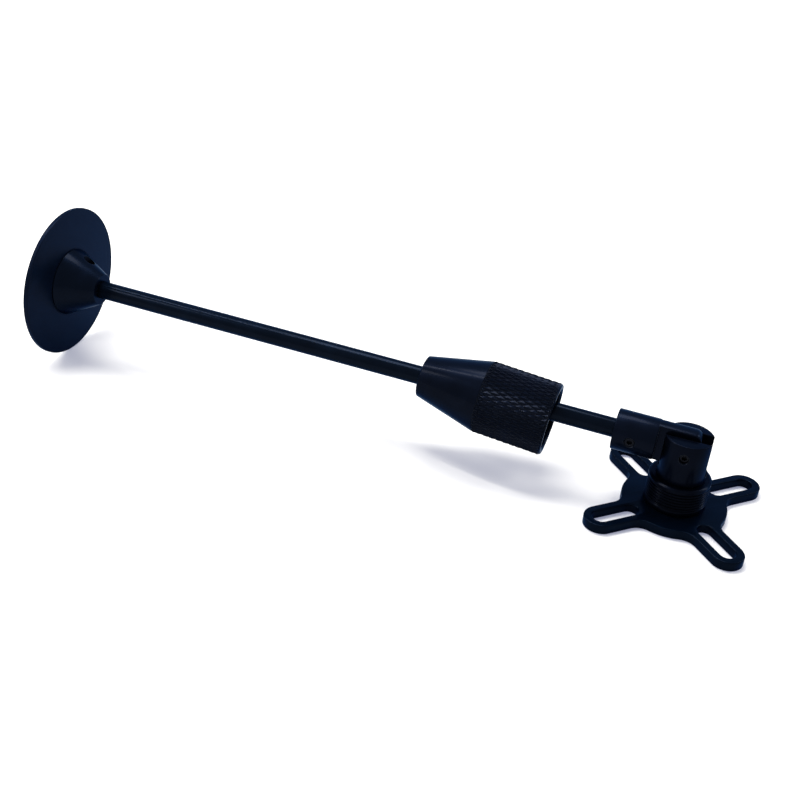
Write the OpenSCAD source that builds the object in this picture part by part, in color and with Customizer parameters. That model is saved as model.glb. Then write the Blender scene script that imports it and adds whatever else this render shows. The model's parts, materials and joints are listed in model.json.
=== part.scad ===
// Folding rod stand: slotted cross foot, forked post, round rod, locking sleeve and round end plate.
// Millimetres. Z is up. The origin is the centre of the foot's underside, and X and Y lie along its arms.

/* [Foot] */
// Thickness of the cross-shaped foot
foot_t = 3; // [2:0.5:5]
// Radius of the foot's round middle
foot_r = 16.25; // [15:0.25:20]
// Width of each arm of the foot
arm_w = 10.3; // [9:0.1:14]
// Distance from the centre to the centre of each arm's rounded tip
arm_reach = 26.7; // [24:0.1:40]
// Distance from the centre to the inner end centre of each slot
slot_start = 16.1; // [14:0.1:20]
// Width of the fixing slots
slot_w = 5.2; // [3:0.1:6]
// Radius of the inside corners where the arms meet the middle
foot_fillet = 5; // [2:0.5:6]

/* [Threaded collar] */
// Radius over the collar's thread
collar_r = 9.5; // [9.2:0.1:9.7]
// Height of the collar's top above the foot's underside
collar_top = 12.6; // [12:0.1:13.4]
// Pitch of the thread, drawn as plain rings
thread_pitch = 1; // [0.8:0.1:1.5]

/* [Forked post] */
// Radius of the post
post_r = 7.45; // [7:0.05:8]
// Height of the post's top
post_top = 26.75; // [26:0.05:27.5]
// Width of the slot between the two ears
fork_gap = 5.3; // [5:0.1:6]
// Height of the slot's floor
fork_floor = 15; // [14:0.1:15.2]
// Radius of the pivot screw
pivot_r = 1.5; // [1.25:0.25:2]

/* [Arm] */
// Height of the pivot above the foot's underside
pivot_z = 22.4; // [22:0.1:23]
// Turn of the arm about the post, from the foot's X axis
heading = 136; // [100:1:170]
// Radius of the rod
rod_r = 3; // [2.5:0.25:3.5]
// Distance from the pivot to the rod's far end
rod_end = 212.5; // [150:0.5:300]
// Radius of the tongue block
block_r = 6.35; // [6:0.05:6.5]
// Distance from the pivot to the block's shoulder
block_start = 9.15; // [9.1:0.05:10]
// Distance from the pivot to the block's end
block_end = 22.1; // [20:0.1:24]
// Thickness of the tongue
tongue_t = 4.5; // [4:0.1:4.6]

/* [Locking sleeve] */
// Distance from the pivot to the sleeve's nose
nose_at = 84.4; // [80:0.1:180]
// Length of the sleeve
sleeve_len = 43.1; // [40:0.1:46]
// Radius of the sleeve's knurled part
sleeve_r = 11.65; // [11.4:0.05:12.5]
// Length of the knurled part
knurl_len = 22.5; // [18:0.5:26]
// Radius of the cone at the nose
nose_r = 6.6; // [6:0.1:8]
// Angle at which the loose sleeve hangs from its nose
hang = 4.36; // [0:0.01:4.4]

/* [End plate] */
// Radius of the round end plate
disc_r = 25.4; // [20:0.1:40]
// Thickness of the end plate
disc_t = 1.6; // [1.5:0.1:3]
// Length of the conical hub
hub_len = 12; // [11:0.5:16]
// Radius of the hub's small end
hub_r1 = 5.25; // [5:0.05:6]
// Radius of the hub's base
hub_r2 = 11.5; // [10.5:0.1:16]

/* [Hidden] */
$fn = 96;
fit = 0.02;
// The arm's tilt at which the end plate's rim rests on the surface that the foot stands on
rest_tilt = atan(disc_r / rod_end) - asin((pivot_z - 0.03) / sqrt(rod_end * rod_end + disc_r * disc_r));
register_r = 6.5;
spigot_r = 4;
recess_r = 5.2;
recess_top = 3.95;
thread_from = 4.6;
thread_n = floor((collar_top - 0.6 - thread_from) / thread_pitch);
thread_d = 0.45;
bore_r = 9.8;
bore_len = 20;
inner_r = 6.9;
inner_len = 37.4;
land = 4;
land_r = 3.2;
set_at = 16.6;
hub_at = rod_end - hub_len;
hub_set_at = 207;
hub_turn = 21;
black = [0.09, 0.09, 0.11];
grey = [0.2, 0.2, 0.23];

module on_post() {
    rotate([0, 0, heading]) children();
}

// Arm frame: X from the pivot along the rod, Y towards the near ear, Z up
module on_arm() {
    on_post() translate([0, 0, pivot_z]) rotate([0, -rest_tilt, 0]) children();
}

// Sleeve frame: origin at the nose face, X from the tail out through the nose
module on_sleeve() {
    on_arm() translate([nose_at - land / 2, 0, 0]) rotate([0, -hang, 0]) translate([land / 2, 0, 0]) children();
}

// Turns a profile drawn as [radius, distance] about the X axis
module turned(points) {
    rotate([0, 90, 0]) rotate_extrude() polygon(points);
}

module socket(across, depth) {
    cylinder(h = depth, r = across / sqrt(3), $fn = 6);
}

module arm_outline() {
    along = sqrt(pow(foot_r + foot_fillet, 2) - pow(arm_w / 2 + foot_fillet, 2));
    lat = arm_w / 2 + foot_fillet;
    k = foot_r / (foot_r + foot_fillet);
    translate([0, -arm_w / 2]) square([arm_reach, arm_w]);
    translate([arm_reach, 0]) circle(r = arm_w / 2);
    for (m = [0, 1]) mirror([0, m]) difference() {
        polygon([[foot_r - 4, 0], [along, 0], [along, arm_w / 2], [along * k, lat * k],
            [along * k - 2, lat * k * 0.8]]);
        translate([along, lat]) circle(r = foot_fillet);
    }
}

module slot_outline() {
    translate([slot_start, -slot_w / 2]) square([arm_reach - slot_start, slot_w]);
    translate([slot_start, 0]) circle(r = slot_w / 2);
    translate([arm_reach, 0]) circle(r = slot_w / 2);
}

module cross_foot() {
    color(black) linear_extrude(height = foot_t) difference() {
        union() {
            circle(r = foot_r);
            for (a = [0 : 90 : 270]) rotate(a) arm_outline();
        }
        circle(r = register_r);
        for (a = [0 : 90 : 270]) rotate(a) slot_outline();
    }
}

// Ring profile of the thread: crests at collar_r, roots thread_d deeper
function crest(z) = [[collar_r - thread_d, z + 0.05], [collar_r, z + thread_pitch * 0.4],
    [collar_r, z + thread_pitch * 0.6], [collar_r - thread_d, z + thread_pitch * 0.95]];

module threaded_collar() {
    color(black) rotate_extrude() polygon(concat(
        [[spigot_r + 0.05, recess_top], [recess_r, recess_top], [recess_r, 0.4], [register_r - fit, 0.4],
            [register_r - fit, foot_t], [collar_r - 0.3, foot_t], [collar_r, foot_t + 0.3], [collar_r, thread_from],
            [collar_r - thread_d, thread_from]],
        [for (i = [0 : thread_n - 1]) for (p = crest(thread_from + i * thread_pitch)) p],
        [[collar_r - 0.5, collar_top - 0.35], [collar_r - 0.85, collar_top], [spigot_r + 0.05, collar_top]]));
}

module fork_post() {
    color(black) on_post() difference() {
        rotate_extrude() polygon([[0, recess_top - 0.05], [spigot_r, recess_top - 0.05], [spigot_r, collar_top + 0.02],
            [post_r - 0.25, collar_top + 0.02], [post_r, collar_top + 0.27], [post_r, post_top - 0.3],
            [post_r - 0.3, post_top], [0, post_top]]);
        translate([-20, -fork_gap / 2, fork_floor]) cube([40, fork_gap, 20]);
        translate([0, 0, pivot_z]) rotate([90, 0, 0]) cylinder(h = 40, r = pivot_r + fit, center = true);
        translate([0, 0, recess_top - 1]) cylinder(h = 8.5, r = 2 + fit);
    }
}

module swivel_washer() {
    color(grey) translate([0, 0, recess_top - 0.85]) difference() {
        cylinder(h = 0.8, r = 4.8);
        translate([0, 0, -1]) cylinder(h = 3, r = 2.2);
    }
}

module swivel_screw() {
    color(grey) difference() {
        rotate_extrude() polygon([[0, 0.9], [2.6, 0.9], [3.4, 1.5], [3.8, 2.3], [3.8, recess_top - 0.85],
            [2, recess_top - 0.85], [2, 10.6], [1.6, 11], [0, 11]]);
        translate([0, 0, 0]) socket(2.5, 2.2);
    }
}

module pivot_screw() {
    color(grey) on_post() translate([0, 0, pivot_z]) rotate([-90, 0, 0]) difference() {
        translate([0, 0, -6.3]) cylinder(h = 12.9, r = pivot_r);
        translate([0, 0, 6.6 - 1.6]) socket(1.5, 4);
    }
}

module friction_washer() {
    rotate([-90, 0, 0]) difference() {
        cylinder(h = (fork_gap - tongue_t) / 2 - 0.04, r = 3.6);
        translate([0, 0, -1]) cylinder(h = 3, r = pivot_r + 0.1);
    }
}

module near_washer() {
    color(grey) on_post() translate([0, tongue_t / 2 + 0.02, pivot_z]) friction_washer();
}

module far_washer() {
    color(grey) on_post() translate([0, -fork_gap / 2 + 0.02, pivot_z]) friction_washer();
}

// Side view of the tongue: straight top and bottom, rounded end corners past the pivot
module tongue_side() {
    r = 2.2;
    translate([-3.5 + r, -block_r]) square([block_start + 3.5 - r + 1, 2 * block_r]);
    translate([-3.5, -block_r + r]) square([5, 2 * block_r - 2 * r]);
    for (s = [-1, 1]) translate([-3.5 + r, s * (block_r - r)]) circle(r = r);
}

module tongue_block() {
    color(black) on_arm() difference() {
        union() {
            turned([[0, block_start], [block_r, block_start], [block_r, block_end - 0.3],
                [block_r - 0.3, block_end], [0, block_end]]);
            intersection() {
                rotate([0, 90, 0]) cylinder(h = 60, r = block_r, center = true);
                translate([0, tongue_t / 2, 0]) rotate([90, 0, 0]) linear_extrude(height = tongue_t) tongue_side();
            }
        }
        translate([10.5, 0, 0]) rotate([0, 90, 0]) cylinder(h = 20, r = rod_r + fit);
        rotate([90, 0, 0]) cylinder(h = 20, r = pivot_r + 0.05, center = true);
        translate([set_at, 0, 0]) rotate([-90, 0, 0]) cylinder(h = 10, r = 1.5 + fit);
    }
}

module block_set_screw() {
    color(grey) on_arm() translate([set_at, 0, 0]) rotate([-90, 0, 0]) difference() {
        translate([0, 0, rod_r + 0.03]) cylinder(h = 3.05, r = 1.5);
        translate([0, 0, rod_r + 1.5]) socket(1.5, 4);
    }
}

module rod() {
    color(black) on_arm() difference() {
        turned([[0, 10.6], [rod_r - 0.3, 10.6], [rod_r, 10.9], [rod_r, rod_end - 0.2], [rod_r - 0.2, rod_end],
            [0, rod_end]]);
        translate([rod_end - 9, 0, 0]) rotate([0, 90, 0]) cylinder(h = 20, r = 1.5 + fit);
    }
}

module nose_ring() {
    color([0.03, 0.03, 0.03]) on_sleeve() translate([-land / 2, 0, 0]) rotate([0, 90, 0])
        rotate_extrude() translate([rod_r + 0.78, 0]) circle(r = 0.74, $fn = 48);
}

// Radius of the sleeve's cone at a distance behind the nose face
function cone_r(d) = nose_r + (sleeve_r - nose_r) * d / (sleeve_len - knurl_len);

module locking_sleeve() {
    color(black) on_sleeve() difference() {
        turned([[0, -sleeve_len], [sleeve_r - 0.6, -sleeve_len], [sleeve_r, -sleeve_len + 0.6],
            [sleeve_r, -sleeve_len + knurl_len], [cone_r(1.2), -1.2], [cone_r(0.5) - 0.15, -0.5],
            [cone_r(0) - 0.6, -0.12], [nose_r - 1.2, 0], [0, 0]]);
        translate([-sleeve_len - 1, 0, 0]) rotate([0, 90, 0]) cylinder(h = bore_len + 1, r = bore_r);
        translate([-sleeve_len - 0.01, 0, 0]) rotate([0, 90, 0])
            cylinder(h = 0.6, r1 = bore_r + 0.5, r2 = bore_r - 0.1);
        for (i = [0 : 5]) translate([-sleeve_len + 1.2 + i * thread_pitch, 0, 0]) rotate([0, 90, 0])
            cylinder(h = thread_pitch * 0.5, r = bore_r + 0.35);
        translate([-sleeve_len, 0, 0]) rotate([0, 90, 0]) cylinder(h = inner_len, r = inner_r);
        translate([-sleeve_len + inner_len - 0.01, 0, 0]) rotate([0, 90, 0])
            cylinder(h = sleeve_len - land - inner_len + 0.01, r1 = 5.2, r2 = land_r);
        rotate([0, 90, 0]) cylinder(h = 20, r = land_r, center = true);
        translate([-land / 2 - 1, 0, 0]) rotate([0, 90, 0]) cylinder(h = 2, r = rod_r + 1.85);
    }
}

module end_hub() {
    color(black) on_arm() difference() {
        turned([[0, hub_at], [hub_r1 - 0.3, hub_at], [hub_r1, hub_at + 0.2], [hub_r2, rod_end - 0.4],
            [hub_r2, rod_end], [0, rod_end]]);
        rotate([0, 90, 0]) cylinder(h = rod_end + 10, r = rod_r + fit);
        translate([hub_set_at, 0, 0]) rotate([hub_turn, 0, 0]) cylinder(h = 20, r = 2 + fit);
    }
}

module hub_set_screw() {
    color(grey) on_arm() translate([hub_set_at, 0, 0]) rotate([hub_turn, 0, 0]) difference() {
        translate([0, 0, rod_r + 0.03]) cylinder(h = 3.6, r = 2);
        translate([0, 0, rod_r + 1.8]) socket(2, 4);
    }
}

module end_plate() {
    color(black) on_arm() difference() {
        turned([[0, rod_end], [disc_r - 0.3, rod_end], [disc_r, rod_end + 0.3],
            [disc_r, rod_end + disc_t - 0.3], [disc_r - 0.3, rod_end + disc_t], [0, rod_end + disc_t]]);
        rotate([0, 90, 0]) cylinder(h = rod_end + 10, r = 1.6);
        translate([rod_end + disc_t - 1.5, 0, 0]) rotate([0, 90, 0]) cylinder(h = 1.52, r1 = 1.6, r2 = 3.12);
    }
}

module plate_screw() {
    color(grey) on_arm() difference() {
        turned([[0, rod_end - 8], [1.2, rod_end - 8], [1.5, rod_end - 7.7], [1.5, rod_end + disc_t - 1.52],
            [3, rod_end + disc_t - 0.05], [0, rod_end + disc_t - 0.05]]);
        translate([rod_end + disc_t - 1.2, 0, 0]) rotate([0, 90, 0]) socket(2, 4);
    }
}

cross_foot();
threaded_collar();
fork_post();
swivel_washer();
swivel_screw();
pivot_screw();
near_washer();
far_washer();
tongue_block();
block_set_screw();
rod();
nose_ring();
locking_sleeve();
end_hub();
hub_set_screw();
end_plate();
plate_screw();
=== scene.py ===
import json
import math
import bpy
import bmesh
from mathutils import Matrix, Vector
from mathutils.geometry import tessellate_polygon


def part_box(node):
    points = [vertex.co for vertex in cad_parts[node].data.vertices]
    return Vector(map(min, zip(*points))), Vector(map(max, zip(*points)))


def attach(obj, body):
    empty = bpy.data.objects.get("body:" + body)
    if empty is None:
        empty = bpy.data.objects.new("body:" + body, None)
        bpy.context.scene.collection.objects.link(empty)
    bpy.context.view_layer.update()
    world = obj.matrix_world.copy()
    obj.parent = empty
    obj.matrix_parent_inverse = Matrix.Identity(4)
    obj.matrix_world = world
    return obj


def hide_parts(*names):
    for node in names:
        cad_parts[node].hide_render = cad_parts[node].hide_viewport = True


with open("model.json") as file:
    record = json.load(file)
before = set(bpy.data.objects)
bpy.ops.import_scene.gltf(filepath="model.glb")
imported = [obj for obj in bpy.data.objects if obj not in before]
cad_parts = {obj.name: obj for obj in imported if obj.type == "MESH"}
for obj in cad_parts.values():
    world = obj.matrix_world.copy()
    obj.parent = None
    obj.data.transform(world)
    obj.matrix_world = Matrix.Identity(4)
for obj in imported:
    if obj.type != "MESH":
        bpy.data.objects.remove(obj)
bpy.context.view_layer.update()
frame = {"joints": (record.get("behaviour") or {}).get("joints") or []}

joints = {joint["name"]: joint for joint in frame["joints"]}
mm = 0.001
turn = 2 * math.pi


# Places. Each turned piece is made in millimetres with its own axis along X, then put in place

def placeOn(origin, along, across):
    along = Vector(along).normalized()
    across = Vector(across)
    across = (across - along * along.dot(across)).normalized()
    spin = Matrix((along, across, along.cross(across))).transposed().to_4x4()
    return Matrix.Translation(Vector(origin)) @ spin @ Matrix.Scale(mm, 4)


def aimed(place, at, along):
    spin = Vector((1, 0, 0)).rotation_difference(Vector(along)).to_matrix().to_4x4()
    return place @ Matrix.Translation(Vector(at)) @ spin


nearSide = -Vector(joints["arm_tilt"]["axis"])  # across the arm, towards the ear with the socket
armWay = -Vector(joints["sleeve_slide"]["axis"])  # along the rod, towards the end plate
pivot = Vector(joints["arm_tilt"]["pos_m"])
noseLand = 4.0  # length of the sleeve's guide hole, which the slide joint's ring sits in
sleeveWay = Vector(joints["sleeve_spin"]["axis"])
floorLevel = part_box("cross_foot")[0].z

footPlace = Matrix.Translation((0, 0, floorLevel)) @ Matrix.Scale(mm, 4)
postPlace = placeOn((0, 0, floorLevel), (0, 0, 1), nearSide)  # X up the post, Y to the near side
armPlace = placeOn(pivot, armWay, nearSide)  # X along the rod, Y to the near side, Z up
sleevePlace = placeOn(Vector(joints["sleeve_spin"]["pos_m"]) + sleeveWay.normalized() * noseLand / 2 * mm,
                      sleeveWay, nearSide)  # X out through the nose


# Node graphs, for the finishes and for Geometry Nodes alike

class Term:
    def __init__(self, graph, socket):
        self.graph = graph
        self.socket = socket

    def __add__(self, other):
        return self.graph.maths("ADD", self, other)

    def __radd__(self, other):
        return self.graph.maths("ADD", other, self)

    def __sub__(self, other):
        return self.graph.maths("SUBTRACT", self, other)

    def __rsub__(self, other):
        return self.graph.maths("SUBTRACT", other, self)

    def __mul__(self, other):
        return self.graph.maths("MULTIPLY", self, other)

    def __rmul__(self, other):
        return self.graph.maths("MULTIPLY", other, self)

    def __truediv__(self, other):
        return self.graph.maths("DIVIDE", self, other)

    def __pow__(self, other):
        return self.graph.maths("POWER", self, other)


class Graph:
    def __init__(self, tree):
        self.tree = tree

    def node(self, kind, settings=None, sockets=None, out=0):
        made = self.tree.nodes.new(kind)
        for name, value in (settings or {}).items():
            if name == "stops":  # a ramp's stops, as (place, colour)
                ramp = made.color_ramp
                while len(ramp.elements) < len(value):
                    ramp.elements.new(1)
                for element, (at, colour) in zip(ramp.elements, value):
                    element.position = at
                    element.color = colour
            else:
                setattr(made, name, value)
        for name, value in (sockets or {}).items():
            if isinstance(value, Term):
                self.tree.links.new(value.socket, made.inputs[name])
            else:
                made.inputs[name].default_value = value
        return Term(self, made.outputs[out]) if made.outputs else made

    def maths(self, operation, *terms, clamp=False):
        settings = {"operation": operation, "use_clamp": clamp}
        return self.node("ShaderNodeMath", settings, dict(enumerate(terms)))

    def parts(self, vector):  # the X, Y and Z of a vector
        split = self.node("ShaderNodeSeparateXYZ", sockets={0: vector})
        return [Term(self, socket) for socket in split.socket.node.outputs]

    def seen(self):  # 1 for rays that the camera sees, straight, mirrored or let through, else 0
        light = self.node("ShaderNodeLightPath").socket.node
        rays = [Term(self, light.outputs[name])
                for name in ("Is Camera Ray", "Is Glossy Ray", "Is Transmission Ray")]
        return self.maths("MAXIMUM", rays[0], self.maths("MAXIMUM", rays[1], rays[2]))


def emptyGraph(owner):  # the node graph of a material or of the world, cleared
    owner.use_nodes = True
    owner.node_tree.nodes.clear()
    return Graph(owner.node_tree)


# Mesh helpers

def eased(corners, closed=True, steps=4):  # corners are (x, radius, how far the corner is rounded)
    path = []
    for i, (x, r, ease) in enumerate(corners):
        if ease <= 0 or (not closed and i in (0, len(corners) - 1)):
            path.append((x, r))
            continue
        here = Vector((x, r))
        back = (Vector(corners[i - 1][:2]) - here).normalized()
        ahead = (Vector(corners[(i + 1) % len(corners)][:2]) - here).normalized()
        half = back.angle(ahead) / 2
        centre = here + (back + ahead).normalized() * (ease / math.sin(half))
        first = here + back * (ease / math.tan(half)) - centre
        last = here + ahead * (ease / math.tan(half)) - centre
        start = math.atan2(first.y, first.x)
        sweep = (math.atan2(last.y, last.x) - start + math.pi) % turn - math.pi
        for k in range(steps + 1):
            a = start + sweep * k / steps
            path.append((centre.x + ease * math.cos(a), centre.y + ease * math.sin(a)))
    return path


def ringOf(bm, x, r, around):
    if not callable(r) and r < 1e-6:  # on the axis, so a single point
        return [bm.verts.new((x, 0, 0))]
    ring = []
    for i in range(around):
        a = turn * i / around
        far = r(a) if callable(r) else r
        ring.append(bm.verts.new((x, far * math.cos(a), far * math.sin(a))))
    return ring


def joinRings(bm, low, high):
    count = max(len(low), len(high))
    for i in range(count):
        k = (i + 1) % count
        if len(low) == 1:
            bm.faces.new((low[0], high[i], high[k]))
        elif len(high) == 1:
            bm.faces.new((low[i], high[0], low[k]))
        else:
            bm.faces.new((low[i], high[i], high[k], low[k]))


def turned(bm, path, around=128, closed=False):
    rings = [ringOf(bm, x, r, around) for x, r in path]
    for low, high in zip(rings, rings[1:]):
        joinRings(bm, low, high)
    if closed:
        joinRings(bm, rings[-1], rings[0])
    return rings


def made(name, bm, sharp=28):  # a finished bmesh as an object, still in millimetres on its own axis
    bmesh.ops.recalc_face_normals(bm, faces=bm.faces)
    mesh = bpy.data.meshes.new(name)
    bm.to_mesh(mesh)
    bm.free()
    mesh.shade_smooth()
    mesh.set_sharp_from_angle(angle=math.radians(sharp))
    piece = bpy.data.objects.new(name, mesh)
    bpy.context.scene.collection.objects.link(piece)
    return piece


def latheBody(name, path, around=128, closed=False, sharp=28):
    bm = bmesh.new()
    turned(bm, path, around, closed)
    return made(name, bm, sharp)


def settled(piece):  # the piece with its modifiers made into a plain mesh
    bpy.context.view_layer.update()
    graph = bpy.context.evaluated_depsgraph_get()
    plain = bpy.data.meshes.new_from_object(piece.evaluated_get(graph), preserve_all_data_layers=True,
                                            depsgraph=graph)
    piece.modifiers.clear()
    piece.data = plain
    return piece


mergeWithin = 0.004  # millimetres, to clean up after the cuts


def drilled(piece, drills, joined=(), sharp=28):  # joins pieces on, then takes the drills away
    for other, operation in [(one, "UNION") for one in joined] + [(one, "DIFFERENCE") for one in drills]:
        change = piece.modifiers.new("shape", "BOOLEAN")
        change.operation = operation
        change.solver = "EXACT"
        change.object = other
    settled(piece)
    for other in (*joined, *drills):
        bpy.data.objects.remove(other)
    bm = bmesh.new()
    bm.from_mesh(piece.data)
    bmesh.ops.remove_doubles(bm, verts=bm.verts, dist=mergeWithin)
    bmesh.ops.dissolve_degenerate(bm, edges=bm.edges, dist=mergeWithin)
    bm.to_mesh(piece.data)
    bm.free()
    piece.data.shade_smooth()
    piece.data.set_sharp_from_angle(angle=math.radians(sharp))
    return piece


def drill(place, radius, start, end, mouth=0.0, flare=0.25):  # mouth is where the hole meets the surface
    path = [(start, 0), (start, radius), (end, radius), (end, 0)]
    if mouth:
        path = [(start, 0), (start, radius), (mouth - flare, radius), (end, radius + (end - mouth + flare)),
                (end, 0)]
    tool = latheBody("drill", path, 64)
    tool.data.transform(Matrix(place))
    return tool


def inPlace(piece, place, body, node, finish):  # the mesh moved to its place, for the frame
    piece.data.transform(place)
    piece.data.update()
    piece.data.materials.clear()
    piece.data.materials.append(finish)
    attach(piece, body)
    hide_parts(node)
    return piece


# Geometry Nodes: a thread cut along a helix, and a knurl raised from marked faces

def newTree(name, numbers):
    tree = bpy.data.node_groups.new(name, "GeometryNodeTree")
    face = tree.interface
    face.new_socket("Geometry", in_out="INPUT", socket_type="NodeSocketGeometry")
    for label, value in numbers.items():
        face.new_socket(label, in_out="INPUT", socket_type="NodeSocketFloat").default_value = value
    face.new_socket("Finish", in_out="INPUT", socket_type="NodeSocketMaterial")
    face.new_socket("Geometry", in_out="OUTPUT", socket_type="NodeSocketGeometry")
    graph = Graph(tree)
    entry = graph.node("NodeGroupInput").socket.node
    given = {socket.name: Term(graph, socket) for socket in entry.outputs if socket.name}
    return graph, given


def endTree(graph, given, geometry):
    whole = graph.node("GeometryNodeRealizeInstances", sockets={0: geometry})
    dressed = graph.node("GeometryNodeSetMaterial",
                         sockets={"Geometry": whole, "Material": given["Finish"]})
    graph.node("NodeGroupOutput", sockets={0: dressed})
    return graph.tree


threadShape = {
    "crest": 0.25,  # how much of each half turn stays at full radius
    "flank": 1.9,  # how steeply it falls to the root
    "runOut": 2.0,  # how fast the thread fades in and out, per turn
    "near": 0.02,  # only points this close to the radius move, in millimetres
    "least": 0.01,  # keeps points on the axis from dividing by nothing
}
knurlPoint = 0.5  # width of a diamond's point against its flat


def threadTree():
    s = threadShape
    graph, given = newTree("threadCut", {"Pitch": 1, "Depth": 0.4, "From": 0, "To": 1, "Radius": 1})
    x, y, z = graph.parts(graph.node("GeometryNodeInputPosition"))
    far = (y * y + z * z) ** 0.5
    angle = graph.maths("ARCTAN2", z, y)
    phase = graph.maths("FRACT", x / given["Pitch"] - angle / turn)
    side = graph.maths("ABSOLUTE", phase * 2 - 1)
    flank = graph.maths("MULTIPLY", side - s["crest"], s["flank"], clamp=True)
    inn = graph.maths("MULTIPLY", (x - given["From"]) / given["Pitch"], s["runOut"], clamp=True)
    out = graph.maths("MULTIPLY", (given["To"] - x) / given["Pitch"], s["runOut"], clamp=True)
    close = graph.maths("LESS_THAN", graph.maths("ABSOLUTE", far - given["Radius"]), s["near"])
    grow = 1 - given["Depth"] * flank * inn * out * close / graph.maths("MAXIMUM", far, s["least"])
    moved = graph.node("ShaderNodeCombineXYZ", sockets={0: x, 1: y * grow, 2: z * grow})
    cut = graph.node("GeometryNodeSetPosition",
                     sockets={"Geometry": given["Geometry"], "Position": moved})
    return endTree(graph, given, cut)


def knurlTree():
    graph, given = newTree("knurlRaise", {"Height": 0.4, "Flat": 0.3, "Crown": 0.05})
    marked = graph.node("GeometryNodeInputNamedAttribute", {"data_type": "BOOLEAN"},
                        {"Name": "knurl"})
    raised = graph.node("GeometryNodeExtrudeMesh", {"mode": "FACES"},
                        {"Mesh": given["Geometry"], "Selection": marked, "Offset Scale": given["Height"]})
    top = Term(graph, raised.socket.node.outputs["Top"])
    narrow = graph.node("GeometryNodeScaleElements",
                        sockets={"Geometry": raised, "Selection": top, "Scale": given["Flat"]})
    crowned = graph.node("GeometryNodeExtrudeMesh", {"mode": "FACES"},
                         {"Mesh": narrow, "Selection": top, "Offset Scale": given["Crown"]})
    crown = Term(graph, crowned.socket.node.outputs["Top"])
    point = graph.node("GeometryNodeScaleElements",
                       sockets={"Geometry": crowned, "Selection": crown, "Scale": knurlPoint})
    return endTree(graph, given, point)


def throughTree(piece, tree, values):
    change = piece.modifiers.new(tree.name, "NODES")
    change.node_group = tree
    for item in tree.interface.items_tree:
        if item.item_type == "SOCKET" and item.in_out == "INPUT" and item.name in values:
            change[item.identifier] = values[item.name]
    return settled(piece)


threading = threadTree()
knurling = knurlTree()
print("stage: helpers and node trees ready")


# Finishes. Every pattern is in millimetres on the piece's own axis

finishLooks = {
    "tone": (0.0018, 0.0036, 0.0085),  # the black, with a little blue in it
    "worn": (0.060, 0.070, 0.100),  # lighter along edges: worn where the black has thinned, and also a painted edge highlight
    "metallic": 0.55,
    "rough": 0.31,
    "coat": 0.025,
    "coatRough": 0.15,
    "marks": 6.0,  # turning marks for each millimetre
    "markDepth": 0.0012,  # how strongly the marks show in the bump, in millimetres
    "edge": 0.14,  # width of the lighter edge, worn and painted highlight, in millimetres
}
patterns = {  # noises, with the size of each per millimetre
    "marks": {"Scale": 1.0, "Detail": 3.0, "Roughness": 0.6},
    "grain": {"Scale": 9.0, "Detail": 4.0, "Roughness": 0.7},
    "cloud": {"Scale": 0.16, "Detail": 4.0, "Roughness": 0.55},
    "smear": {"Scale": 0.55, "Detail": 5.0, "Roughness": 0.62, "Distortion": 0.6},
}
mix = {  # how much each pattern counts for
    "round": 0.05,  # how fast the turning marks change on the way round
    # the lighter edge's pattern: wear, and also a painted edge highlight
    "edgeGain": 4.0, "wornSmear": 1.2, "wornGrain": 0.5, "wornCut": 0.35, "wornGain": 1.1,
    "toneStops": ((0.3, 0.78), (0.55, 1.0), (0.78, 1.35)),  # place on the ramp, strength of the tone
    "toneCloud": 0.75, "toneSmear": 0.25,
    "roughCloud": 0.16, "roughMarks": 0.1, "roughGrain": 0.08, "roughWearSheen": 0.06,
    "coatBase": 1.15, "coatSmear": 0.3, "coatWearSheen": 0.25,
    "bumpMarks": 0.7, "bumpGrain": 0.6, "bump": 0.55,
    "mirrorTint": (0.42, 0.55, 0.8, 1),
}


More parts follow.
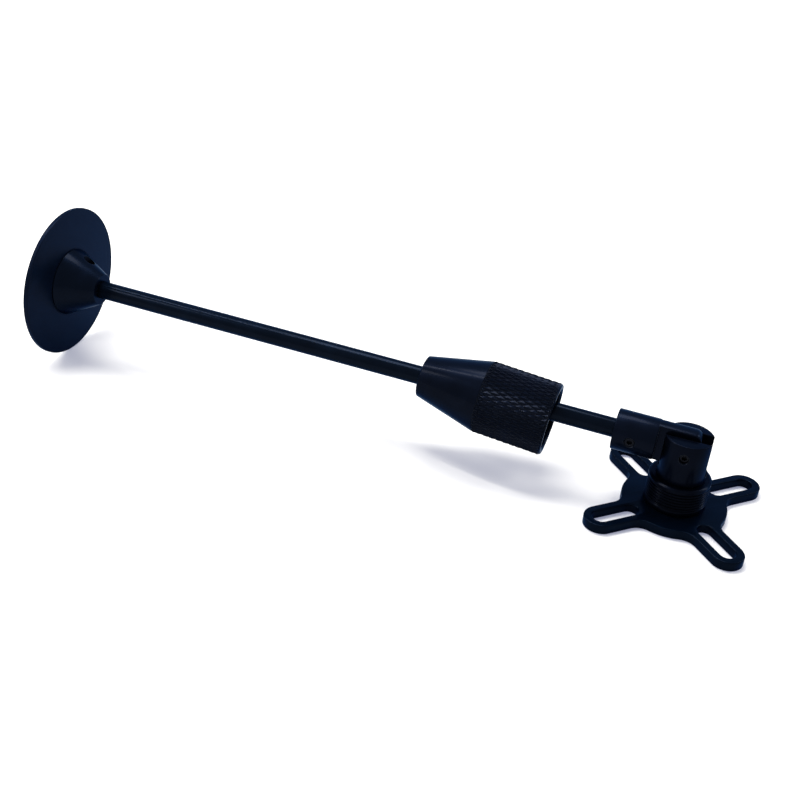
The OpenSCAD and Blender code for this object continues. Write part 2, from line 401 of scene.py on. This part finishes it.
def blackFinish(name, place, **changes):
    look = {**finishLooks, **changes}
    material = bpy.data.materials.new(name)
    graph = emptyGraph(material)
    back = place.inverted()
    spin = back.to_quaternion().to_matrix()
    size = back.to_scale().x
    objectPoint = graph.node("ShaderNodeTexCoord", out="Object")
    point = graph.node("ShaderNodeMapping", {"vector_type": "POINT"},
                       {"Vector": objectPoint, "Location": back.to_translation(),
                        "Rotation": spin.to_euler(), "Scale": (size, size, size)})
    x, y, z = graph.parts(point)
    far = (y * y + z * z) ** 0.5
    lathe = graph.node("ShaderNodeCombineXYZ",
                       sockets={0: x * look["marks"], 1: far * look["marks"], 2: y * mix["round"]})

    def noise(kind, vector):
        return graph.node("ShaderNodeTexNoise", sockets={"Vector": vector, **patterns[kind]})

    marks, grain = noise("marks", lathe), noise("grain", point)
    cloud, smear = noise("cloud", point), noise("smear", point)
    soft = graph.node("ShaderNodeBevel", {"samples": 6}, {"Radius": look["edge"] * mm})
    face = graph.node("ShaderNodeNewGeometry", out="Normal")
    same = graph.node("ShaderNodeVectorMath", {"operation": "DOT_PRODUCT"}, {0: soft, 1: face}, out="Value")
    # edges get a lighter colour and more coat: wear, and partly a painted edge highlight
    edge = graph.maths("MULTIPLY", 1 - same, mix["edgeGain"], clamp=True)
    patchy = smear * mix["wornSmear"] + grain * mix["wornGrain"] - mix["wornCut"]
    worn = edge * graph.maths("MULTIPLY", patchy, mix["wornGain"], clamp=True)
    stops = [(at, (*(c * strength for c in look["tone"]), 1)) for at, strength in mix["toneStops"]]
    tint = graph.node("ShaderNodeValToRGB", {"stops": stops},
                      {0: cloud * mix["toneCloud"] + smear * mix["toneSmear"]})
    colour = graph.node("ShaderNodeMix", {"data_type": "RGBA"},
                        {0: worn, 6: tint, 7: (*look["worn"], 1)}, out=2)
    rough = (look["rough"] + (cloud - 0.5) * mix["roughCloud"] + (marks - 0.5) * mix["roughMarks"]
             + (grain - 0.5) * mix["roughGrain"] - worn * mix["roughWearSheen"])
    coat = look["coat"] * (mix["coatBase"] - smear * mix["coatSmear"]) + worn * mix["coatWearSheen"]
    height = marks * mix["bumpMarks"] + grain * mix["bumpGrain"]
    bump = graph.node("ShaderNodeBump", sockets={"Strength": mix["bump"], "Height": height,
                                                 "Distance": look["markDepth"] * mm})
    shader = graph.node("ShaderNodeBsdfPrincipled", sockets={
        "Base Color": colour, "Roughness": rough, "Metallic": look["metallic"], "Specular IOR Level": 0.0,
        "Specular Tint": mix["mirrorTint"], "Coat Weight": coat, "Coat Roughness": look["coatRough"],
        "Normal": bump, "Coat Normal": bump})
    graph.node("ShaderNodeOutputMaterial", sockets={"Surface": shader})
    return material


# Cross foot: outlines worked out for any inset, so that its edges can be rounded exactly

footSizes = {"middle": 16.25, "armHalf": 5.15, "reach": 26.69, "slotFrom": 16.1, "slotHalf": 2.6,
             "fillet": 5.0, "hole": 6.5, "ease": 0.4, "lowEase": 0.2}
footSteps = {"tip": 28, "fillet": 12, "middle": 12, "slot": 24, "hole": 96}  # points along each curve


def armSide(inset):
    s = footSizes
    lateral = s["armHalf"] + s["fillet"]
    along = math.sqrt((s["middle"] + s["fillet"]) ** 2 - lateral ** 2)
    lean = math.atan2(lateral, along)  # where the middle's edge meets the fillet
    points = []
    for k in range(footSteps["tip"] + 1):  # the rounded tip, from one side round to the other
        a = -math.pi / 2 + math.pi * k / footSteps["tip"]
        half = s["armHalf"] - inset
        points.append((s["reach"] + half * math.cos(a), half * math.sin(a)))
    for k in range(footSteps["fillet"] + 1):  # the fillet into the middle
        a = -math.pi / 2 + (lean - math.pi / 2) * k / footSteps["fillet"]
        r = s["fillet"] + inset
        points.append((along + r * math.cos(a), lateral + r * math.sin(a)))
    gap = math.pi / 2 - 2 * lean
    for k in range(1, footSteps["middle"]):  # the middle's edge as far as the next arm's fillet
        a = lean + gap * k / footSteps["middle"]
        r = s["middle"] - inset
        points.append((r * math.cos(a), r * math.sin(a)))
    for k in range(footSteps["fillet"] + 1):  # the next arm's fillet
        a = -math.pi / 2 - lean + (lean - math.pi / 2) * k / footSteps["fillet"]
        r = s["fillet"] + inset
        points.append((lateral + r * math.cos(a), along + r * math.sin(a)))
    return points


def footOutline(inset):
    side = armSide(inset)
    loop = []
    for q in range(4):
        c, s = round(math.cos(q * turn / 4)), round(math.sin(q * turn / 4))
        loop += [(x * c - y * s, x * s + y * c) for x, y in side]
    return loop


def slotOutline(q, inset):
    s = footSizes
    half = s["slotHalf"] + inset
    loop = []
    for middle, start in ((s["reach"], -math.pi / 2), (s["slotFrom"], math.pi / 2)):
        for k in range(footSteps["slot"] + 1):
            a = start + math.pi * k / footSteps["slot"]
            loop.append((middle + half * math.cos(a), half * math.sin(a)))
    c, t = round(math.cos(q * turn / 4)), round(math.sin(q * turn / 4))
    return [(x * c - y * t, x * t + y * c) for x, y in loop]


def holeOutline(inset):
    r = footSizes["hole"] + inset
    count = footSteps["hole"]
    return [(r * math.cos(turn * k / count), r * math.sin(turn * k / count)) for k in range(count)]


def plateBody(name, outlines, thick, ease, lowEase, steps=4):
    levels = []
    for k in range(steps + 1):
        a = math.pi / 2 * k / steps
        levels.append((lowEase * (1 - math.cos(a)), lowEase * (1 - math.sin(a))))
    for k in range(steps + 1):
        a = math.pi / 2 * k / steps
        levels.append((thick - ease + ease * math.sin(a), ease * (1 - math.cos(a))))
    bm = bmesh.new()
    ends = []
    for outline in outlines:
        rings = [[bm.verts.new((x, y, z)) for x, y in outline(inset)] for z, inset in levels]
        for low, high in zip(rings, rings[1:]):
            joinRings(bm, low, high)
        ends.append((rings[0], rings[-1]))
    for which in (0, 1):
        loops = [pair[which] for pair in ends]
        flat = [vert for loop in loops for vert in loop]
        for triangle in tessellate_polygon([[vert.co for vert in loop] for loop in loops]):
            if len(set(triangle)) == 3:
                bm.faces.new([flat[i] for i in triangle])
    return made(name, bm, 35)


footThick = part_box("cross_foot")[1].z / mm
foot = plateBody("crossFoot", [footOutline, holeOutline] + [lambda inset, q=q: slotOutline(q, inset)
                                                            for q in range(4)],
                 footThick, footSizes["ease"], footSizes["lowEase"])
inPlace(foot, footPlace, "foot", "cross_foot",
        blackFinish("footBlack", postPlace, marks=1.6, markDepth=0.0016, coat=0.03,
                    tone=(0.0008, 0.0030, 0.0085)))
print("stage: cross foot")


# Threaded collar

collarSizes = {"radius": 9.5, "bore": 4.05, "recess": 5.2, "recessTop": 3.95, "plug": 6.48, "slant": 0.75,
               "slantTall": 0.42, "threadFrom": 4.7, "threadTo": 11.75, "threadRows": 84, "pitch": 1.0,
               "depth": 0.5}
collarLow, collarHigh = (corner.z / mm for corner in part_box("threaded_collar"))


def collarPath():
    s = collarSizes
    long, count = s["threadTo"] - s["threadFrom"], s["threadRows"]
    rows = [(s["threadFrom"] + long * k / count, s["radius"]) for k in range(count + 1)]
    low = eased([(collarLow, s["recess"], 0), (collarLow, s["plug"], 0.1), (footThick, s["plug"], 0),
                 (footThick, s["radius"], 0.25), (s["threadFrom"], s["radius"], 0)], closed=False)
    high = eased([(s["threadTo"], s["radius"], 0), (collarHigh - s["slantTall"], s["radius"], 0.2),
                  (collarHigh, s["radius"] - s["slant"], 0.18), (collarHigh, s["bore"], 0.15),
                  (s["recessTop"], s["bore"], 0), (s["recessTop"], s["recess"], 0)], closed=False)
    return low[:-1] + rows + high[1:]


collar = latheBody("threadedCollar", collarPath(), 160, closed=True)
collarBlack = blackFinish("collarBlack", postPlace, tone=(0.0012, 0.0020, 0.0050), edge=0.1)
throughTree(collar, threading, {"Pitch": collarSizes["pitch"], "Depth": collarSizes["depth"],
                                "From": collarSizes["threadFrom"], "To": collarSizes["threadTo"],
                                "Radius": collarSizes["radius"], "Finish": collarBlack})
inPlace(collar, postPlace, "foot", "threaded_collar", collarBlack)
print("stage: threaded collar")


# Forked post: a turned body below, and two ears with rounded edges

postSizes = {"radius": 7.45, "spigot": 4.0, "gap": 5.3, "slotFloor": 15.0, "ease": 0.3, "broken": 0.3,
             "bevel": 0.09, "hole": 1.52, "clear": 0.02, "swivelHole": 2.02, "swivelTop": 11.45}
postLow, postHigh = (corner.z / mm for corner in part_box("fork_post"))


def postBody():
    s = postSizes
    seat = collarHigh + s["clear"]
    return latheBody("forkPost", eased([(postLow, 0, 0), (postLow, s["spigot"], 0.15), (seat, s["spigot"], 0),
                                        (seat, s["radius"], 0.25), (postHigh, s["radius"], s["ease"]),
                                        (postHigh, 0, 0)], closed=False), 160)


def slotCutter():  # the gap between the ears, wider at the top so that the ears' inner edges are broken
    s = postSizes
    half, low, b, e = s["gap"] / 2, s["slotFloor"], s["bevel"], s["broken"]
    side = [(low, half - e), (low + b, half - b), (low + e, half),
            (postHigh - e, half), (postHigh - 0.1, half + b), (postHigh + 1, half + 1.2)]
    outline = side + [(x, -y) for x, y in reversed(side)]
    bm = bmesh.new()
    ends = [[bm.verts.new((x, y, z)) for x, y in outline] for z in (-20, 20)]
    joinRings(bm, *ends)
    for end in ends:
        bm.faces.new(end)
    return made("slotCutter", bm)


post = postBody()
pivotHeight = pivot.z / mm - floorLevel / mm
across = aimed(Matrix.Identity(4), (pivotHeight, 0, 0), (0, 1, 0))
drilled(post, [drill(across, postSizes["hole"], 1.0, 9.0, mouth=7.4, flare=0.2),
               drill(across, postSizes["hole"], -9.0, -1.0), slotCutter(),
               drill(Matrix.Identity(4), postSizes["swivelHole"], postLow - 1, postSizes["swivelTop"])])
inPlace(post, postPlace, "post", "fork_post",
        blackFinish("postBlack", postPlace, tone=(0.0016, 0.0028, 0.0070), marks=5))
print("stage: forked post")


# Tongue block: a turned block, with a tongue whose top and bottom follow the same round

blockSizes = {"radius": 6.35, "start": 9.15, "end": 22.1, "ease": 0.35, "tongue": 4.5, "past": 3.5,
              "corner": 2.2, "cornerSteps": 8, "tongueEase": 0.25, "tongueIn": 0.03, "overlap": 0.6,
              "setAt": 16.6, "setRadius": 1.5, "rodHole": 3.02, "rodStop": 10.5, "pivotHole": 1.55,
              "clear": 0.02}


def tongueLoop(y, inset):
    s = blockSizes
    tall = math.sqrt((s["radius"] - s["tongueIn"]) ** 2 - y * y) - inset
    end = -s["past"] + inset
    corner, count = s["corner"], s["cornerSteps"]
    loop = [(s["start"] + s["overlap"], tall)]
    for start, level in ((math.pi / 2, tall - corner), (math.pi, -tall + corner)):  # top, then bottom
        for k in range(count + 1):
            a = start + math.pi / 2 * k / count
            loop.append((end + corner + corner * math.cos(a), level + corner * math.sin(a)))
    loop.append((s["start"] + s["overlap"], -tall))
    return loop


def blockBody():
    s = blockSizes
    return latheBody("tongueBlock", eased([(s["start"], 0, 0), (s["start"], s["radius"], s["ease"]),
                                           (s["end"], s["radius"], s["ease"]), (s["end"], s["rodHole"], 0.1),
                                           (s["rodStop"], s["rodHole"], 0), (s["rodStop"], 0, 0)],
                                          closed=False), 144)


def tongueBody():
    s = blockSizes
    bm = bmesh.new()
    half = s["tongue"] / 2
    levels = []
    for k in range(5):
        a = math.pi / 2 * k / 4
        levels.append((-half + s["tongueEase"] * (1 - math.cos(a)), s["tongueEase"] * (1 - math.sin(a))))
    levels += [(y, 0.0) for y in (-1.2, -0.6, 0.0, 0.6, 1.2)]
    levels += [(-y, inset) for y, inset in reversed(levels[:5])]
    rings = [[bm.verts.new((x, y, z)) for x, z in tongueLoop(y, inset)] for y, inset in levels]
    for low, high in zip(rings, rings[1:]):
        joinRings(bm, low, high)
    bm.faces.new(rings[0])
    bm.faces.new(rings[-1])
    return made("tongue", bm, 30)


block = blockBody()
setPlace = aimed(Matrix.Identity(4), (blockSizes["setAt"], 0, 0), (0, 1, 0))
pivotDrill = aimed(Matrix.Identity(4), (0, 0, 0), (0, 1, 0))
drilled(block, [drill(setPlace, blockSizes["setRadius"] + blockSizes["clear"], 2.0, 9.0, mouth=6.3),
                drill(pivotDrill, blockSizes["pivotHole"], -5.0, 5.0)], joined=[tongueBody()])
inPlace(block, armPlace, "arm", "tongue_block",
        blackFinish("blockBlack", armPlace, tone=(0.0020, 0.0036, 0.0090), coat=0.03))
print("stage: tongue block")


# Rod

rodSizes = {"radius": 3.0, "start": 10.6, "end": 212.45, "ease": 0.3, "screwHole": 1.52, "screwDepth": 8.95}


def rodPath():
    s = rodSizes
    holeEnd = s["end"] - s["screwDepth"]
    return eased([(s["start"], 0, 0), (s["start"], s["radius"], s["ease"]),
                  (s["end"], s["radius"], s["ease"]), (s["end"], s["screwHole"], 0.05),
                  (holeEnd, s["screwHole"], 0), (holeEnd, 0, 0)], closed=False)


rod = latheBody("rodBar", rodPath(), 96)
inPlace(rod, armPlace, "arm", "rod",
        blackFinish("rodBlack", armPlace, tone=(0.0018, 0.0040, 0.0095), marks=4, coat=0.035, coatRough=0.13,
                    rough=0.27))
print("stage: rod")


# Locking sleeve: one closed skin, with a lattice of diamonds round its wide part

sleeveSizes = {"length": 43.1, "radius": 11.65, "valley": 11.27, "coneStart": 11.47, "knurlStart": 0.5,
               "knurlEnd": 22.5, "nose": 6.6, "bore": 9.8, "boreDepth": 20.0, "inner": 6.9,
               "innerDepth": 37.4, "hole": 3.2, "grooveRadius": 4.85, "diamonds": 47, "rows": 10,
               "sides": 4, "flat": 0.34, "crown": 0.06, "threadPitch": 1.0, "threadDepth": 0.35,
               "threadRows": 72, "threadEnd": 8, "threadLong": 7.2, "sharp": 24}


def sleeveRings(tail, start, end):  # the outside ahead of the knurl, the inside, and the tail's edge
    s = sleeveSizes
    outer = eased([(end, s["valley"], 0), (end + 0.02, s["coneStart"] - 0.05, 0),
                   (end + 0.25, s["coneStart"], 0.12), (-0.3, s["nose"] + 0.05, 0.55),
                   (0, s["nose"] - 0.9, 0.25), (0, s["hole"], 0.25), (-1, s["hole"], 0),
                   (-1.05, s["grooveRadius"], 0), (-2.95, s["grooveRadius"], 0), (-3, s["hole"], 0),
                   (-noseLand, s["hole"], 0), (tail + s["innerDepth"], 5.2, 0),
                   (tail + s["innerDepth"], s["inner"], 0.2), (tail + s["boreDepth"], s["inner"], 0.2),
                   (tail + s["boreDepth"], s["bore"], 0.2), (tail + s["threadEnd"], s["bore"], 0)],
                  closed=False)
    threaded = [(tail + s["threadEnd"] - s["threadLong"] * k / s["threadRows"], s["bore"])
                for k in range(1, s["threadRows"] + 1)]
    close = eased([(tail + 0.8, s["bore"], 0), (tail + 0.55, s["bore"], 0.1), (tail, s["bore"] + 0.5, 0.12),
                   (tail, s["radius"] - 0.55, 0.15), (start - 0.1, s["radius"] - 0.12, 0.08),
                   (start, s["valley"], 0)], closed=False)
    return outer + threaded + close[1:]


def sleeveBody():
    s = sleeveSizes
    tail = -s["length"]
    start, end = tail + s["knurlStart"], tail + s["knurlEnd"]
    count = s["diamonds"]
    around = count * s["sides"]
    step = (end - start) / s["rows"]
    bm = bmesh.new()
    mark = bm.faces.layers.bool.new("knurl")
    rings = turned(bm, sleeveRings(tail, start, end), around)
    last, first = rings[0], rings[-1]  # the knurl lies between these two
    rows = [first]
    for j in range(1, s["rows"]):
        angles = [turn * (i + 0.5 * (j % 2)) / count for i in range(count)]  # odd rows lie half a step on
        rows.append([bm.verts.new((start + step * j, s["valley"] * math.cos(a), s["valley"] * math.sin(a)))
                     for a in angles])
    rows.append(last)

    def corner(j, i):
        if j in (0, s["rows"]):
            return rows[j][(s["sides"] * i) % around]
        return rows[j][i % count]

    def border(j, i):  # the stretch of a border ring that one half diamond stands on
        return [rows[j][(s["sides"] * i + k) % around] for k in range(s["sides"] + 1)]

    for j in range(s["rows"] + 1):
        for i in range(count):
            middle = i + j % 2
            if j == 0:
                face = bm.faces.new(border(j, i) + [corner(1, i)])
            elif j == s["rows"]:
                face = bm.faces.new(border(j, i)[::-1] + [corner(j - 1, i)])
            else:
                face = bm.faces.new((corner(j - 1, middle), corner(j, i + 1), corner(j + 1, middle),
                                     corner(j, i)))
            face[mark] = True
    return made("lockingSleeve", bm, s["sharp"])


sleeve = sleeveBody()
sleeveBlack = blackFinish("sleeveBlack", sleevePlace, tone=(0.0018, 0.0032, 0.0080), coat=0.035, edge=0.08)
throughTree(sleeve, threading, {"Pitch": sleeveSizes["threadPitch"], "Depth": -sleeveSizes["threadDepth"],
                                "From": -sleeveSizes["length"] + 0.9,
                                "To": -sleeveSizes["length"] + sleeveSizes["threadEnd"],
                                "Radius": sleeveSizes["bore"], "Finish": sleeveBlack})
knurlTall = sleeveSizes["radius"] - sleeveSizes["valley"] - sleeveSizes["crown"]
throughTree(sleeve, knurling, {"Height": knurlTall, "Flat": sleeveSizes["flat"],
                               "Crown": sleeveSizes["crown"], "Finish": sleeveBlack})
sleeve.data.set_sharp_from_angle(angle=math.radians(sleeveSizes["sharp"]))
inPlace(sleeve, sleevePlace, "sleeve", "locking_sleeve", sleeveBlack)
print("stage: locking sleeve,", len(sleeve.data.polygons), "faces")


# Nose ring

ringSizes = {"radius": 3.78, "thick": 0.74, "at": -2.0, "steps": 24}


def noseRingPath():
    s = ringSizes
    angles = [turn * k / s["steps"] for k in range(s["steps"])]
    return [(s["at"] + s["thick"] * math.cos(a), s["radius"] + s["thick"] * math.sin(a)) for a in angles]


noseRing = latheBody("noseRing", noseRingPath(), 72, closed=True)
# the ring's edges get a lighter colour, as wear and as a painted edge highlight
inPlace(noseRing, sleevePlace, "ring", "nose_ring",
        blackFinish("ringRubber", sleevePlace, tone=(0.01, 0.01, 0.011), worn=(0.02, 0.02, 0.022),
                    metallic=0.0, rough=0.7, coat=0.0, marks=2.0))


# End hub and end plate

hubSizes = {"small": 5.25, "large": 11.5, "length": 12.0, "ease": 0.35, "bore": 3.02, "setAt": 207.0,
            "setTurn": 21.0, "setRadius": 2.0, "clear": 0.02}
plateSizes = {"radius": 25.35, "thick": 1.6, "ease": 0.35, "hole": 1.6, "sink": 3.12, "sinkDeep": 1.5}
rodEnd = 212.5  # where the hub meets the plate


def hubPath():
    s = hubSizes
    start = rodEnd - s["length"]
    return eased([(start + 1.5, s["bore"], 0), (start, s["bore"], 0.12), (start, s["small"], s["ease"]),
                  (rodEnd - 0.35, s["large"], 0.2), (rodEnd, s["large"], 0), (rodEnd, s["bore"], 0)], steps=5)


hub = latheBody("endHub", hubPath(), 144, closed=True)
lean = math.radians(hubSizes["setTurn"])
hubAim = (0, -math.sin(lean), math.cos(lean))
hubHole = aimed(Matrix.Identity(4), (hubSizes["setAt"], 0, 0), hubAim)
drilled(hub, [drill(hubHole, hubSizes["setRadius"] + hubSizes["clear"], 1.0, 14.0)])
inPlace(hub, armPlace, "arm", "end_hub",
        blackFinish("hubBlack", armPlace, tone=(0.0016, 0.0036, 0.0095), coat=0.035, coatRough=0.13))


def platePath():
    s = plateSizes
    out = rodEnd + s["thick"]
    return eased([(rodEnd, s["hole"], 0), (rodEnd, s["radius"], s["ease"]), (out, s["radius"], s["ease"]),
                  (out, s["sink"], 0.05), (out - s["sinkDeep"], s["hole"], 0)], steps=5)


plate = latheBody("endPlate", platePath(), 192, closed=True)
inPlace(plate, armPlace, "arm", "end_plate",
        blackFinish("plateBlack", armPlace, tone=(0.0018, 0.0044, 0.0130), marks=2.2, markDepth=0.0016,
                    coat=0.04, coatRough=0.3, rough=0.45))
print("stage: hub and end plate")


# Screws and washers

def hexReach(across):
    def reach(angle):
        step = turn / 6
        return across / 2 / math.cos((angle + step / 2) % step - step / 2)
    return reach


def socketScrew(name, place, radius, start, end, across, depth, body, node, finish, ease=0.2):
    hexagon = hexReach(across)
    path = eased([(start, 0, 0), (start, radius, ease), (end, radius, ease), (end, across * 0.62, 0)],
                 closed=False)
    path = path + [(end, lambda a: hexagon(a) + 0.06), (end - 0.08, hexagon), (end - depth, hexagon),
                   (end - depth - across * 0.25, 0)]
    screw = latheBody(name, path, 72, sharp=24)
    return inPlace(screw, place, body, node, finish)


def steelFinish(name, place):
    # edges get a lighter colour, as wear and as a painted edge highlight
    return blackFinish(name, place, tone=(0.006, 0.007, 0.011), worn=(0.05, 0.054, 0.066), metallic=0.6,
                       rough=0.4, marks=8.0, edge=0.08)


crosswise = aimed(postPlace, (pivotHeight, 0, 0), (0, 1, 0))
socketScrew("pivotScrew", crosswise, 1.5, -6.3, 6.6, 1.5, 1.6, "post", "pivot_screw",
            steelFinish("pivotSteel", crosswise))
blockSet = aimed(armPlace, (blockSizes["setAt"], 0, 0), (0, 1, 0))
socketScrew("blockSetScrew", blockSet, 1.5, 3.03, 6.08, 1.5, 1.5, "arm", "block_set_screw",
            steelFinish("blockSetSteel", blockSet))
hubSet = aimed(armPlace, (hubSizes["setAt"], 0, 0), hubAim)
socketScrew("hubSetScrew", hubSet, 2.0, 3.03, 6.63, 2.0, 1.8, "arm", "hub_set_screw",
            steelFinish("hubSetSteel", hubSet))


def plateScrewBody():
    out = rodEnd + plateSizes["thick"] - 0.05
    hexagon = hexReach(2.0)
    path = eased([(rodEnd - 8, 0, 0), (rodEnd - 8, 1.5, 0.3), (out - 1.47, 1.5, 0), (out, 3.0, 0.12),
                  (out, 1.35, 0)], closed=False)
    path += [(out, hexagon), (out - 1.15, hexagon), (out - 1.5, 0)]
    return latheBody("plateScrew", path, 72, sharp=24)


inPlace(plateScrewBody(), armPlace, "arm", "plate_screw", steelFinish("plateSteel", armPlace))


def swivelScrewBody():
    hexagon = hexReach(2.5)
    path = eased([(11, 0, 0), (11, 2, 0.4), (3.1, 2, 0), (3.1, 3.8, 0.12), (2.1, 3.8, 0.4), (0.9, 2.5, 0.2),
                  (0.9, 1.6, 0)], closed=False)
    path += [(0.9, hexagon), (2.2, hexagon), (2.6, 0)]
    return latheBody("swivelScrew", path, 72, sharp=24)


inPlace(swivelScrewBody(), postPlace, "post", "swivel_screw",
        steelFinish("swivelSteel", postPlace))


def washer(name, place, hole, radius, start, end, node):
    path = eased([(start, hole, 0.05), (start, radius, 0.12), (end, radius, 0.12), (end, hole, 0.05)],
                 steps=3)
    piece = latheBody(name, path, 96, closed=True)
    return inPlace(piece, place, "post", node, steelFinish(name + "Steel", place))


washer("swivelWasher", postPlace, 2.2, 4.8, 3.1, 3.9, "swivel_washer")
washer("nearWasher", crosswise, 1.6, 3.6, 2.27, 2.63, "near_washer")
washer("farWasher", crosswise, 1.6, 3.6, -2.63, -2.27, "far_washer")
print("stage: screws and washers")


# Floor, light and camera

stage = {
    "floorSize": 6.0,
    "floorDrop": 0.0001,  # the floor lies this far below the foot, in metres
    "floorGlow": (0.20, 0.22, 0.33),  # the light that shadows can't take away, a little blue
    "whiteFrom": 0.3,  # beyond this many metres from the middle the glow turns white
    "whiteRise": 2.0,
    "floorTone": (0.78, 0.76, 0.68),
    "worldFill": 0.35,
    "camera": (-0.21079, -0.22510, 0.21294),
    "cameraWay": 63.25,  # the way it looks, in degrees from +X
    "cameraDown": 31.81,
    "cameraRoll": 5.44,
    "lens": 52.95,
    "sensor": 36,
    "nearest": 0.01,
}


def floorPlane():
    bm = bmesh.new()
    half = stage["floorSize"] / 2
    level = floorLevel - stage["floorDrop"]
    corners = ((-1, -1), (1, -1), (1, 1), (-1, 1))
    bm.faces.new([bm.verts.new((x * half, y * half, level)) for x, y in corners])
    mesh = bpy.data.meshes.new("floor")
    bm.to_mesh(mesh)
    bm.free()
    floor = bpy.data.objects.new("floor", mesh)
    bpy.context.scene.collection.objects.link(floor)
    material = bpy.data.materials.new("floorPale")
    graph = emptyGraph(material)
    matt = graph.node("ShaderNodeBsdfDiffuse", sockets={"Color": (*stage["floorTone"], 1)})
    x, y, z = graph.parts(graph.node("ShaderNodeTexCoord", out="Object"))
    beyond = (x * x + y * y) ** 0.5 - stage["whiteFrom"]
    away = graph.maths("MULTIPLY", beyond, stage["whiteRise"], clamp=True)
    white = graph.node("ShaderNodeMix", {"data_type": "RGBA"},
                       {0: away, 6: (*stage["floorGlow"], 1), 7: (1, 1, 1, 1)}, out=2)
    glow = graph.node("ShaderNodeEmission", sockets={"Color": white, "Strength": 1.0})
    lit = graph.node("ShaderNodeAddShader", sockets={0: matt, 1: glow})
    both = graph.node("ShaderNodeMixShader", sockets={0: graph.seen(), 1: matt, 2: lit})
    graph.node("ShaderNodeOutputMaterial", sockets={"Surface": both})
    mesh.materials.append(material)


def worldLight():
    world = bpy.data.worlds.new("studio")
    bpy.context.scene.world = world
    graph = emptyGraph(world)
    seen = graph.seen()
    level = seen + (1 - seen) * stage["worldFill"]
    glow = graph.node("ShaderNodeBackground", sockets={"Color": (1, 1, 1, 1), "Strength": level})
    graph.node("ShaderNodeOutputWorld", sockets={"Surface": glow})


lamps = {  # place, where it points, width, height and strength in watts
    "top": ((0.05, 0.36, 0.86), (-0.06, 0.06, 0.02), 0.5, 0.3, 6.5),
    "right": ((0.75, -0.05, 0.55), (-0.02, 0.02, 0.02), 0.1, 0.6, 3.0),
    "strip": ((-0.35, 0.45, 0.62), (-0.06, 0.06, 0.02), 0.04, 0.8, 4.0),
    "left": ((-0.75, 0.25, 0.5), (-0.1, 0.1, 0.02), 0.1, 0.5, 2.2),
}


def addLamps():
    for name, (at, towards, wide, tall, power) in lamps.items():
        lamp = bpy.data.lights.new(name, "AREA")
        lamp.shape = "RECTANGLE"
        lamp.size = wide
        lamp.size_y = tall
        lamp.energy = power
        stand = bpy.data.objects.new(name, lamp)
        stand.location = at
        stand.rotation_euler = (Vector(towards) - Vector(at)).to_track_quat("-Z", "Y").to_euler()
        bpy.context.scene.collection.objects.link(stand)


def addCamera():
    lens = bpy.data.cameras.new("camera")
    lens.lens = stage["lens"]
    lens.sensor_width = stage["sensor"]
    lens.clip_start = stage["nearest"]
    camera = bpy.data.objects.new("camera", lens)
    way, down, roll = (math.radians(stage[name]) for name in ("cameraWay", "cameraDown", "cameraRoll"))
    ahead = Vector((math.cos(way) * math.cos(down), math.sin(way) * math.cos(down), -math.sin(down)))
    right = Vector((math.sin(way), -math.cos(way), 0))
    up = right.cross(ahead)
    turnedRight = right * math.cos(roll) + up * math.sin(roll)
    turnedUp = up * math.cos(roll) - right * math.sin(roll)
    spin = Matrix((turnedRight, turnedUp, -ahead)).transposed()
    camera.matrix_world = Matrix.Translation(stage["camera"]) @ spin.to_4x4()
    bpy.context.scene.collection.objects.link(camera)
    bpy.context.scene.camera = camera


floorPlane()
worldLight()
addLamps()
addCamera()
bpy.context.scene.view_settings.view_transform = "Standard"
print("stage: floor, light and camera")
